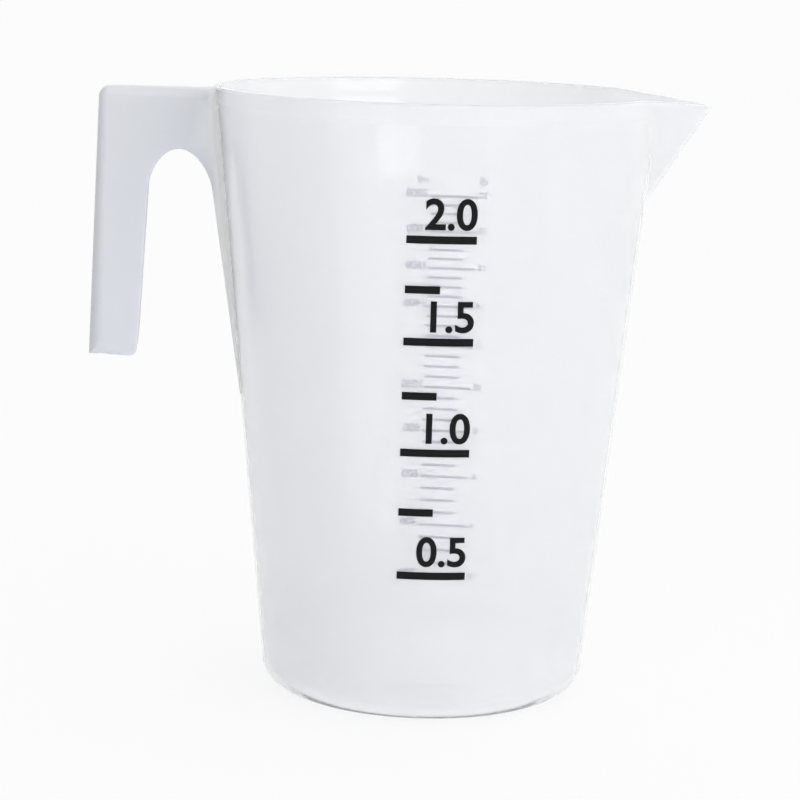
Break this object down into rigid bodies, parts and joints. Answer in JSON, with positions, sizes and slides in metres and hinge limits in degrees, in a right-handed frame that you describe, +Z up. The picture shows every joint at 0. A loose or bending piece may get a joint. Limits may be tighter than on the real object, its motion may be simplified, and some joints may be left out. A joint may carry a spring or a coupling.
{
  "type": "measuring jug",
  "caption": "Tapered translucent measuring jug with a V spout, an open hook handle and a printed volume scale, for measuring and pouring liquids.",
  "frame": {"origin": "centre of the base, on the surface that the jug stands on", "axes": "+Z up along the axis of the body, +X towards the spout, -X towards the handle, +Y towards the side with the printed scale"},
  "size_m": [0.2146, 0.1542, 0.21],
  "materials": {
    "polypropylene": "milky natural polypropylene, translucent, smooth",
    "ink": "dark blue screen print"
  },
  "bodies": {
    "root": {"base_floor": "polypropylene", "body_wall": "polypropylene", "rim_band": "polypropylene", "spout": "polypropylene", "handle_top_strap": "polypropylene", "handle_back_strap": "polypropylene", "handle_cheek_near": "polypropylene", "handle_cheek_far": "polypropylene", "handle_rib_near": "polypropylene", "handle_rib_far": "polypropylene", "scale_line_0200": "ink", "scale_line_0250": "ink", "scale_line_0300": "ink", "scale_line_0350": "ink", "scale_line_0400": "ink", "scale_line_0450": "ink", "scale_line_0500": "ink", "scale_line_0550": "ink", "scale_line_0600": "ink", "scale_line_0650": "ink", "scale_line_0700": "ink", "scale_line_0750": "ink", "scale_line_0800": "ink", "scale_line_0850": "ink", "scale_line_0900": "ink", "scale_line_0950": "ink", "scale_line_1000": "ink", "scale_line_1050": "ink", "scale_line_1100": "ink", "scale_line_1150": "ink", "scale_line_1200": "ink", "scale_line_1250": "ink", "scale_line_1300": "ink", "scale_line_1350": "ink", "scale_line_1400": "ink", "scale_line_1450": "ink", "scale_line_1500": "ink", "scale_line_1550": "ink", "scale_line_1600": "ink", "scale_line_1650": "ink", "scale_line_1700": "ink", "scale_line_1750": "ink", "scale_line_1800": "ink", "scale_line_1850": "ink", "scale_line_1900": "ink", "scale_line_1950": "ink", "scale_line_2000": "ink"}
  },
  "joints": []
}
